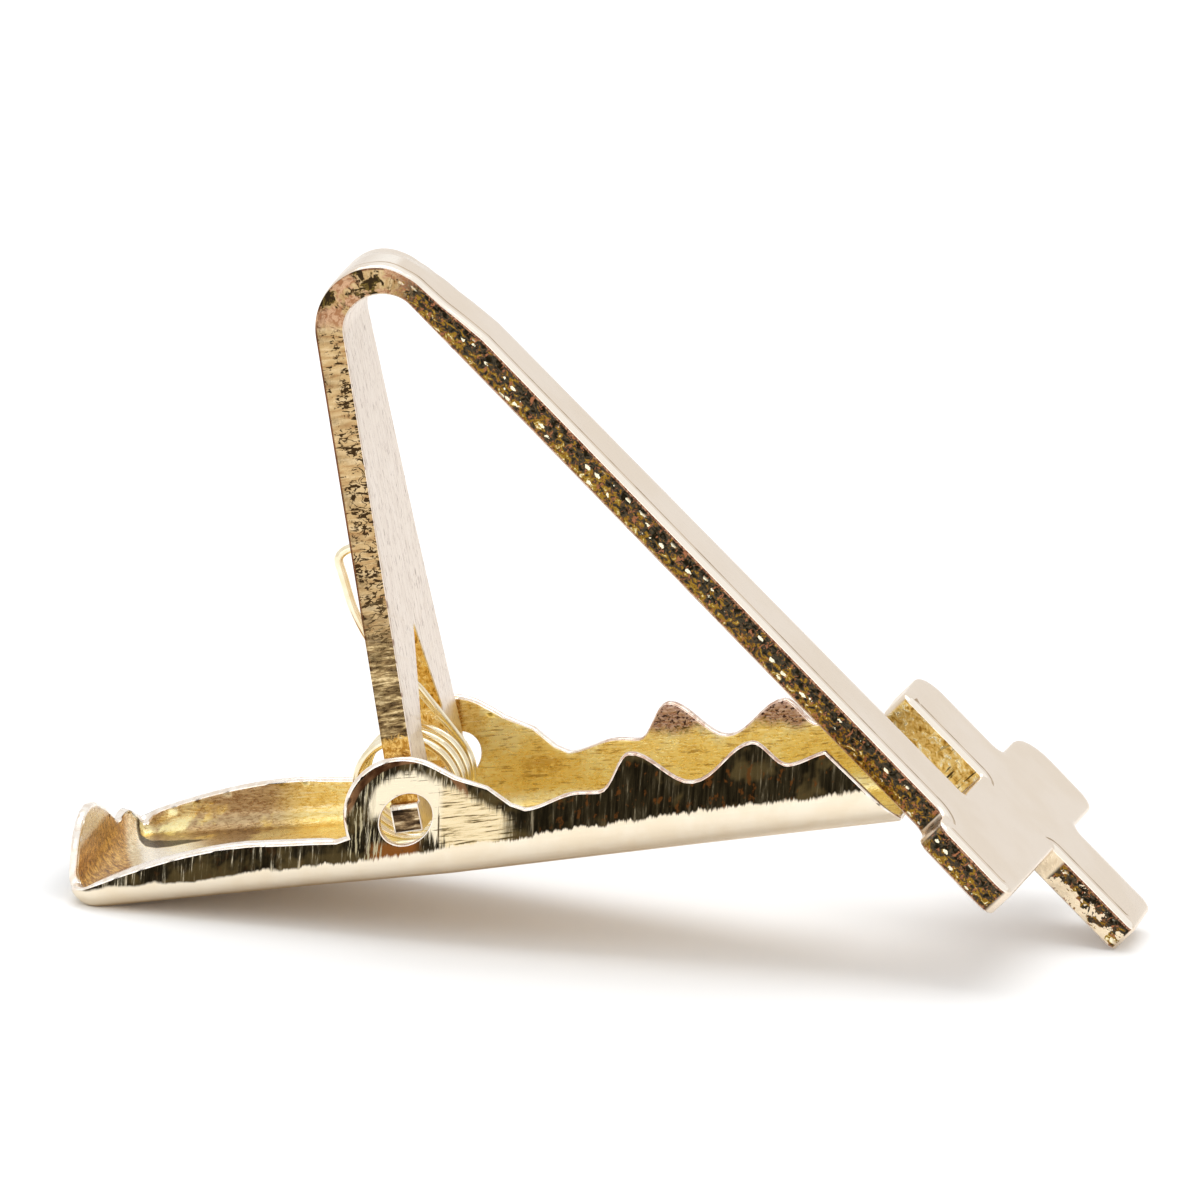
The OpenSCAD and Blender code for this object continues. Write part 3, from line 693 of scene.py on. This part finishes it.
def crown_rows(loops):
    """Closed rows of points, one for each step of the crown in from each outline."""
    out = []
    for k, loop in enumerate(loops):
        turn = (1 if outline_area(loop) > 0 else -1) * (1 if k == 0 else -1)
        for d in [d for d, _ in CROWN[1:]] + [CROWN_WIDE + ROLL_LINE]:
            row = []
            for a, b, c in zip(loop[-1:] + loop[:-1], loop, loop[1:] + loop[:1]):
                before, after = (Vector(b) - Vector(a)).normalized(), (Vector(c) - Vector(b)).normalized()
                inward = [Vector((-v.y, v.x)) * turn for v in (before, after)]
                middle = (inward[0] + inward[1]).normalized()
                row.append(tuple(Vector(b) + middle * d / max(middle.dot(inward[0]), 0.5)))
            away, _ = nearest_edge(row, loops)
            row = [p for p, real in zip(row, away) if real > d - 0.004]
            if len(row) > 2:
                out.append(row)
    return out


def cut_across(bm, geom, at, normal):
    bmesh.ops.bisect_plane(bm, geom=geom, dist=1e-5, plane_co=at, plane_no=normal)


def make_front():
    loops = [spaced(loop, RIM_STEP) for loop in front_outline()]
    pts, tris, rims = cut_sheet(loops[0], loops[1:], rows=crown_rows(loops))
    away, _ = nearest_edge(pts, loops)
    bm = bmesh.new()
    front = [bm.verts.new((x, y, PLATE / 2 + along_table(d, CROWN) * crown_share(x))) for (x, y), d in zip(pts, away)]
    back_pts, back_tris, back_rims = cut_sheet(loops[0], loops[1:])
    back = [bm.verts.new((x, y, -PLATE / 2)) for x, y in back_pts]
    middles = [tuple(sum(pts[i][k] for i in t) / 3 for k in (0, 1)) for t in tris]
    for t, (u, _), deep, (_, across) in zip(tris, middles, *nearest_edge(middles, loops)):
        face = bm.faces.new([front[i] for i in t])
        near_bar = across < -0.3 and u > LEG_LEN + BEND_LEN / 2
        face.material_index = LINE if near_bar and CROWN_WIDE < deep < CROWN_WIDE + ROLL_LINE else FACE
    for t in back_tris:
        bm.faces.new([back[i] for i in reversed(t)]).material_index = BACK
    for up, down in zip(rims, back_rims):
        for a, b, c, d in zip(down, down[1:] + down[:1], up[1:] + up[:1], up):
            bm.faces.new((back[a], back[b], front[c], front[d])).material_index = EDGE
    bmesh.ops.recalc_face_normals(bm, faces=bm.faces)
    low = [e for e in bm.edges if all(v.co.z < 0 for v in e.verts) and e.calc_face_angle(0) > 0.5]
    bmesh.ops.bevel(bm, geom=low, offset=BACK_EDGE, offset_type="OFFSET", segments=2, profile=0.5, affect="EDGES",
                    clamp_overlap=False, loop_slide=False, material=BACK)
    cuts = [LEG_LEN + BEND_LEN * k / BEND_CUTS for k in range(BEND_CUTS + 1)]
    cuts += [LEG_LEN * k / LEG_CUTS for k in range(1, LEG_CUTS)]
    cuts += [BAR_U + BAR_LEN * k / BAR_CUTS for k in range(1, BAR_CUTS)]
    for u in cuts:
        cut_across(bm, bm.verts[:] + bm.edges[:] + bm.faces[:], (u, 0, 0), (1, 0, 0))
    # cuts along the bend, so that its lowered far side is smooth across
    for v in ACROSS_CUTS:
        near_bend = [f for f in bm.faces if LEG_LEN - 0.01 < f.calc_center_median().x < BAR_U + ACROSS_PAST_BEND]
        near_bend += [*dict.fromkeys(e for f in near_bend for e in f.edges),
                      *dict.fromkeys(c for f in near_bend for c in f.verts)]
        cut_across(bm, near_bend, (0, v, 0), (0, 1, 0))
    flat = bm.verts.layers.float_vector.new("flat")
    facing = bm.verts.layers.float_vector.new("way")
    bm.verts.ensure_lookup_table()
    _, way = nearest_edge([v.co.xy for v in bm.verts], loops)
    for v, (along, across) in zip(bm.verts, way):
        v[flat] = v.co
        v[facing] = (along, across, 0)
        v.co = on_plate(*v.co)
    obj = finished("front_plate", bm, [plated_face(), cut_edge(), plated_back(), roll_line()])
    obj.modifiers.new("even_light", "WEIGHTED_NORMAL").keep_sharp = False
    return obj


def plan_points():
    """The jaw's outline from above as (x, y), from the near tip round the tail to the far tip."""
    near = [(x, -w) for x, w in reversed(JAW_PLAN)]
    x_min = tilted(-TAIL_LEN + TAIL_R, -FLOOR_DROP + TAIL_R)[0] - TAIL_R
    corner = (x_min + CORNER_R, -(TAIL_HALF_W - CORNER_R))
    rows = []
    for (x0, y0), (x1, y1) in zip(near, near[1:]):
        n = math.ceil(abs(x1 - x0) / PLAN_STEP)
        rows += [(x0 + (x1 - x0) * k / n, y0 + (y1 - y0) * k / n) for k in range(n)]
    rows += [(near[-1][0] + (corner[0] - near[-1][0]) * k / 2, -TAIL_HALF_W) for k in range(2)]
    rows += [(corner[0] - CORNER_R * math.sin(a), corner[1] - CORNER_R * math.cos(a))
             for a in (math.pi / 2 * k / CORNER_STEPS for k in range(CORNER_STEPS))]
    rows += [(x_min, corner[1] - corner[1] * k / END_STEPS) for k in range(END_STEPS)]
    return rows + [(x_min, 0.0)] + [(x, -y) for x, y in reversed(rows)]


class Walls:
    """The jaw's wall all round: place(p, q, layer) for p along the plan's outline and q up from the fold."""

    def __init__(self):
        self.rows = plan_points()
        self.at = [0.0]
        for a, b in zip(self.rows, self.rows[1:]):
            self.at.append(self.at[-1] + math.hypot(b[0] - a[0], b[1] - a[1]))
        self.total = self.at[-1]
        self.x_min = min(r[0] for r in self.rows)
        self.out = []
        for a, b in zip(self.rows[:1] + self.rows[:-1], self.rows[1:] + self.rows[-1:]):
            d = Vector((b[0] - a[0], b[1] - a[1])).normalized()
            self.out.append(Vector((-d.y, d.x)))

    def spot(self, p):
        """The plan's point and its outward direction at p."""
        i = min(max(bisect_right(self.at, p) - 1, 0), len(self.at) - 2)
        t = (p - self.at[i]) / (self.at[i + 1] - self.at[i])
        xy = Vector(self.rows[i]).lerp(Vector(self.rows[i + 1]), t)
        return xy, self.out[i].lerp(self.out[i + 1], t).normalized()

    def fold(self, p, layer):
        """Fold centre, outward direction, radius and the angle it starts from, for the outer or inner face."""
        xy, out = self.spot(p)
        tail = smooth(-out.x)
        if layer == 0:
            mid = smooth(1 - abs(xy.y) / (TAIL_HALF_W - CORNER_R))
            r = 1.35 + 0.55 * smooth((xy.x + 5) / 25)
            r = r + (1.4 - r) * tail
            r = r + (TAIL_R - r) * mid * tail
        else:
            r = 0.45 + 0.45 * smooth((xy.x + 15) / 2) + 0.7 * tail
            hem = HEM * smooth((-3.2 - xy.x) / 0.8) * smooth((-2 - xy.y) / 2) * smooth((xy.x + 16.2) / 1.5)
            xy = xy - out * (SHEET + hem)
        c = xy - out * r
        lean = PITCH * tail
        z = c.x * math.tan(PITCH) - (FLOOR_DROP - (SHEET if layer else 0)) / math.cos(PITCH) + r / math.cos(lean)
        return c, z, out, r, -(math.pi / 2 + lean)

    def level(self, p):
        """Height of the fold's upper end, the same for both faces."""
        return self.fold(p, 0)[1]

    def rise(self, p, z):
        """q of a height over the wall's foot, up the straight wall or down round the fold."""
        _, level, _, r, low = self.fold(p, 0)
        if z >= level:
            return z - level
        return -ARC * math.asin(max((z - level) / r, -1)) / low

    def place(self, p, q, layer):
        c, z, out, r, low = self.fold(p, layer)
        if q < 0:
            a = low * -q / ARC
            h = z + r * math.sin(a)
            flat = c + out * (r * math.cos(a))
        else:
            flat = c + out * r
            h = self.level(p) + q
            if layer and q < FOLD_JOIN:
                h = z + (self.level(p) + FOLD_JOIN - z) * q / FOLD_JOIN
        return flat.x, flat.y, max(h, -HINGE.z)

    def along(self, x, side):
        """p of the point of a side wall at x."""
        for (x0, y0), (x1, y1), p0, p1 in zip(self.rows, self.rows[1:], self.at, self.at[1:]):
            if (y0 + y1) * side > 0 and min(x0, x1) <= x <= max(x0, x1) and abs(x1 - x0) > 1e-6:
                return p0 + (x - x0) / (x1 - x0) * (p1 - p0)


def eased_rows(rows, n):
    out = []
    for (s0, h0), (s1, h1) in zip(rows, rows[1:]):
        out += [(s0 + (s1 - s0) * k / n, h0 + (h1 - h0) * (1 - math.cos(math.pi * k / n)) / 2) for k in range(n)]
    return out + [rows[-1]]


def side_rim():
    """The upper rim of a side wall as (x, z), from the tip to the tail."""
    (s0, h0), (s1, h1) = RIM_TAIL[:2]
    tail = [(s0 + (s1 - s0) * k / 12, h0 + (h1 - h0) * math.sin(math.pi / 2 * k / 12)) for k in range(12)]
    start, end = (math.atan2(h, s) for s, h in (EAR_START, RIM_NOSE[0]))
    turn = (start - end) % (2 * math.pi)
    turns = [start - turn * k / EAR_STEPS for k in range(EAR_STEPS + 1)]
    ear = [(EAR_R * math.cos(a), EAR_R * math.sin(a)) for a in turns]
    rim = tail + RIM_TAIL[1:] + ear + RIM_NOSE[1:] + eased_rows(RIM_TEETH, TOOTH_STEPS)
    return [tilted(s, h) for s, h in reversed(rim)]


def jaw_blank(walls):
    """The unfolded wall: points as (p, q), triangles, and the rims as point numbers."""
    rims = []
    for side in (-1, 1):
        rim = [(walls.along(x, side), z) for x, z in side_rim() if x > walls.x_min + TAB_ROOM]
        rims.append([(p, walls.rise(p, z)) for p, z in rim])
    near, far = rims
    tab = [(walls.total / 2 + y, walls.rise(walls.total / 2 + y, z - HINGE.z)) for y, z in TAB]
    start, end = near[0][0], walls.total - near[0][0]
    low = [(start + (walls.total - 2 * start) * k / FLOOR_SIDES, -ARC) for k in range(FLOOR_SIDES + 1)]
    outer = spaced(low + (near + tab + far[::-1])[::-1], SHEET_STEP)
    holes = []
    for p in (walls.along(0.0, side) for side in (-1, 1)):
        turns = [2 * math.pi * k / BORE_SIDES for k in range(BORE_SIDES)]
        holes.append([(p + BORE_R * math.cos(a), -walls.level(p) + BORE_R * math.sin(a)) for a in turns])
    points = []
    p = start + 0.2
    while p < end - 0.1:
        points += [(p, -ARC + ARC * k / FOLD_STEPS) for k in range(1, FOLD_STEPS + 1)]
        q = POINT_STEP
        while q < WALL_TOP:
            points.append((p, q))
            q += POINT_STEP
        p += POINT_STEP
    away, _ = nearest_edge(points, [outer, *holes])
    points = [c for c, gap in zip(points, away)
              if gap > POINT_ROOM and inside(c, outer) and not any(inside(c, h) for h in holes)]
    return cut_sheet(outer, holes, points)


def make_jaw():
    walls = Walls()
    pts, tris, loops = jaw_blank(walls)
    bm = bmesh.new()
    sheet = bm.verts.layers.float_vector.new("sheet")
    layers = []
    for layer in (0, 1):
        layers.append([bm.verts.new(walls.place(p, q, layer)) for p, q in pts])
        for v in layers[layer]:
            x, y, z = v.co
            v[sheet] = (x, (z - x * math.tan(PITCH)) * math.cos(PITCH) + FLOOR_DROP, y)
    for layer, made in enumerate(layers):
        for t in tris:
            bm.faces.new([made[i] for i in (t if layer else reversed(t))]).material_index = INSIDE if layer else OUTSIDE
    bottom = sorted((i for i in loops[0] if pts[i][1] < -ARC + 1e-4), key=lambda i: pts[i][0])
    for layer, made in enumerate(layers):
        _, floor, (rim,) = cut_sheet([tuple(made[i].co.xy) for i in bottom], [])
        number = dict(zip(rim, bottom))
        for t in floor:
            bm.faces.new([made[number[i]] for i in t]).material_index = INSIDE if layer else OUTSIDE
    low = set(bottom)
    for loop in loops:
        for a, b in zip(loop, loop[1:] + loop[:1]):
            if a not in low or b not in low:
                bm.faces.new((layers[0][a], layers[0][b], layers[1][b], layers[1][a])).material_index = RIM
    a, b = bottom[-1], bottom[0]
    bm.faces.new((layers[0][a], layers[0][b], layers[1][b], layers[1][a]))
    bmesh.ops.remove_doubles(bm, verts=bm.verts, dist=1e-5)
    bmesh.ops.recalc_face_normals(bm, faces=bm.faces)
    # the tip is cut off along the bar's back
    back = (BEND_X + (BEND_R - TIP_GAP) * math.sin(DIP), 0, BEND_Z + (BEND_R - TIP_GAP) * math.cos(DIP))
    cut = bmesh.ops.bisect_plane(bm, geom=bm.verts[:] + bm.edges[:] + bm.faces[:], dist=1e-5, plane_co=back,
                                 plane_no=(math.sin(DIP), 0, math.cos(DIP)), clear_outer=True)
    edges = [g for g in cut["geom_cut"] if isinstance(g, bmesh.types.BMEdge)]
    for g in bmesh.ops.triangle_fill(bm, edges=edges, use_beauty=True)["geom"]:
        if isinstance(g, bmesh.types.BMFace):
            g.material_index = RIM
    bmesh.ops.recalc_face_normals(bm, faces=bm.faces)
    weight = bm.edges.layers.float.new("bevel_weight_edge")
    for e in bm.edges:
        kinds = {f.material_index for f in e.link_faces}
        if RIM in kinds and len(kinds) == 2 and e.calc_face_angle(0) > 0.6:
            at = (e.verts[0].co + e.verts[1].co) / 2
            at_bore = math.hypot(at.x, at.z) < BORE_R + 0.3
            e[weight] = BORE_SHARE if at_bore else TEETH_SHARE + TAIL_SHARE * smooth((4.0 - at.x) / 3)
    for v in bm.verts:
        v.co = metres(*v.co)
    obj = finished("jaw_shell", bm, [jaw_outside(), jaw_inside(), burnished_rim()])
    bevel = obj.modifiers.new("burnish", "BEVEL")
    bevel.width = BURNISH * MM
    bevel.segments = 3
    bevel.limit_method = "WEIGHT"
    bevel.use_clamp_overlap = False
    bevel.material = RIM
    obj.modifiers.new("even_light", "WEIGHTED_NORMAL").keep_sharp = False
    return obj


def wire_route():
    """The wire's middle line: the leg behind the bar's leg, the coil, and the leg on the jaw's floor."""
    back_x, back_z = tilted(BACK_LEG_END[0], -FLOOR_DROP + SHEET + WIRE_D / 2 + WIRE_GAP)
    last = -90 + math.degrees(PITCH)
    sweep = COIL_FROM - last + 360 * COIL_TURNS
    steps = math.ceil(sweep / COIL_STEP)
    coil = []
    for k in range(steps + 1):
        a = math.radians(COIL_FROM - sweep * k / steps)
        coil.append(Vector((COIL_R * math.cos(a) - COIL_BACK, COIL_HALF - 2 * COIL_HALF * k / steps,
                            COIL_UP + COIL_R * math.sin(a))))
    lead = [Vector(p) for p in reversed(FRONT_LEG)]
    chain = [lead[0], *lead, coil[0], lead[-1] + (coil[1] - coil[0]) * 12]
    eased = []
    for a, b, c, d in zip(chain, chain[1:], chain[2:], chain[3:]):
        for t in (k / LEG_STEPS for k in range(LEG_STEPS)):
            eased.append(((b * 2) + (c - a) * t + (a * 2 - b * 5 + c * 4 - d) * t * t
                          + (b * 3 - a - c * 3 + d) * t * t * t) / 2)
    end = Vector((back_x, BACK_LEG_END[1], back_z))
    return eased + coil + [coil[-1].lerp(end, k / LEG_STEPS) for k in range(1, LEG_STEPS + 1)]


def wire_tree(material):
    """Geometry Nodes: round wire laid along a route."""
    tree = bpy.data.node_groups.new("wire_along_route", "GeometryNodeTree")
    face = tree.interface
    face.new_socket("Route", in_out="INPUT", socket_type="NodeSocketGeometry")
    for name, kind, value in (("Wire diameter", "NodeSocketFloat", WIRE_D * MM), ("Sides", "NodeSocketInt", WIRE_SIDES),
                              ("Spacing", "NodeSocketFloat", WIRE_STEP * MM)):
        face.new_socket(name, in_out="INPUT", socket_type=kind).default_value = value
    face.new_socket("Wire", in_out="OUTPUT", socket_type="NodeSocketGeometry")
    new, link = tree.nodes.new, tree.links.new
    start, end = new("NodeGroupInput"), new("NodeGroupOutput")
    curve = new("GeometryNodeMeshToCurve")
    even = new("GeometryNodeResampleCurve")
    even.mode = "LENGTH"
    circle = new("GeometryNodeCurvePrimitiveCircle")
    half = new("ShaderNodeMath")
    half.operation = "MULTIPLY"
    half.inputs[1].default_value = 0.5
    tube = new("GeometryNodeCurveToMesh")
    tube.inputs["Fill Caps"].default_value = True
    real = new("GeometryNodeRealizeInstances")
    paint = new("GeometryNodeSetMaterial")
    paint.inputs["Material"].default_value = material
    link(start.outputs["Route"], curve.inputs[0])
    link(curve.outputs[0], even.inputs["Curve"])
    link(start.outputs["Spacing"], even.inputs["Length"])
    link(start.outputs["Sides"], circle.inputs["Resolution"])
    link(start.outputs["Wire diameter"], half.inputs[0])
    link(half.outputs[0], circle.inputs["Radius"])
    link(even.outputs[0], tube.inputs["Curve"])
    link(circle.outputs[0], tube.inputs["Profile Curve"])
    link(tube.outputs[0], real.inputs[0])
    link(real.outputs[0], paint.inputs["Geometry"])
    link(paint.outputs[0], end.inputs[0])
    return tree


def make_spring():
    mat = spring_wire()
    route = wire_route()
    mesh = bpy.data.meshes.new("wire_route")
    mesh.from_pydata([metres(*p) for p in route], [(i, i + 1) for i in range(len(route) - 1)], [])
    obj = placed("wire_route", mesh)
    obj.modifiers.new("wire", "NODES").node_group = wire_tree(mat)
    made = bpy.data.meshes.new_from_object(obj.evaluated_get(bpy.context.evaluated_depsgraph_get()))
    bpy.data.objects.remove(obj)
    made.name = "spring_wire"
    bm = bmesh.new()
    bm.from_mesh(made)
    bmesh.ops.remove_doubles(bm, verts=bm.verts, dist=1e-8)
    bmesh.ops.recalc_face_normals(bm, faces=bm.faces)
    bm.to_mesh(made)
    bm.free()
    made.shade_smooth()
    return placed("spring_wire", made)


front = make_front()
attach(front, "bar")
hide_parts("front_bar")

jaw = make_jaw()
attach(jaw, "jaw")
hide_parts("jaw")

spring = make_spring()
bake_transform(spring)
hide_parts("spring")


def set_camera():
    cos_a, sin_a, cos_e, sin_e = math.cos(AZIMUTH), math.sin(AZIMUTH), math.cos(ELEVATION), math.sin(ELEVATION)
    right = Vector((cos_a, sin_a, 0))
    up = Vector((-sin_a * sin_e, cos_a * sin_e, cos_e))
    back = Vector((sin_a * cos_e, -cos_a * cos_e, sin_e))
    r = right * math.cos(ROLL) - up * math.sin(ROLL)
    u = right * math.sin(ROLL) + up * math.cos(ROLL)
    px_mm = PICTURE / FRAME_W
    centre = r * ((PICTURE / 2 - ORIGIN_AT[0]) / px_mm) + u * ((ORIGIN_AT[1] - PICTURE / 2) / px_mm)
    cam = bpy.data.cameras.new("camera")
    cam.lens = 1000
    cam.sensor_width = 36
    away = FRAME_W * cam.lens / cam.sensor_width
    cam.clip_start, cam.clip_end = 0.1, 20
    obj = placed("camera", cam)
    turn = Matrix((r, u, back)).transposed()
    obj.matrix_world = Matrix.Translation((centre + back * away) * MM) @ turn.to_4x4()
    bpy.context.scene.camera = obj


def set_floor():
    bm = bmesh.new()
    bmesh.ops.create_grid(bm, x_segments=4, y_segments=4, size=3.0)
    pale = Finish("pale_floor").use(Base_Color=(0.93, 0.93, 0.93), Roughness=0.7, Metallic=0.0)
    floor = finished("floor", bm, [pale])


def soft_light(name, place, size, power, aim=(0, 0, 0.01)):
    light = bpy.data.lights.new(name, "AREA")
    light.shape = "RECTANGLE"
    light.size, light.size_y = size
    light.energy = power
    obj = placed(name, light)
    obj.location = place
    obj.rotation_mode = "QUATERNION"
    obj.rotation_quaternion = (Vector(aim) - Vector(place)).to_track_quat("-Z", "Y")


def set_light():
    world = bpy.data.worlds.new("studio")
    bpy.context.scene.world = world
    world.use_nodes = True
    world.node_tree.nodes["Background"].inputs[0].default_value = (1, 1, 1, 1)
    world.node_tree.nodes["Background"].inputs[1].default_value = 0.95
    soft_light("overhead", (0.0, 0.1, 0.5), (0.5, 0.4), 1.2)
    soft_light("low_front", (-0.05, -0.6, 0.12), (0.8, 0.2), 0.45, aim=(-0.01, 0, 0.0))


set_camera()
set_floor()
set_light()
bpy.context.scene.view_settings.view_transform = "Standard"
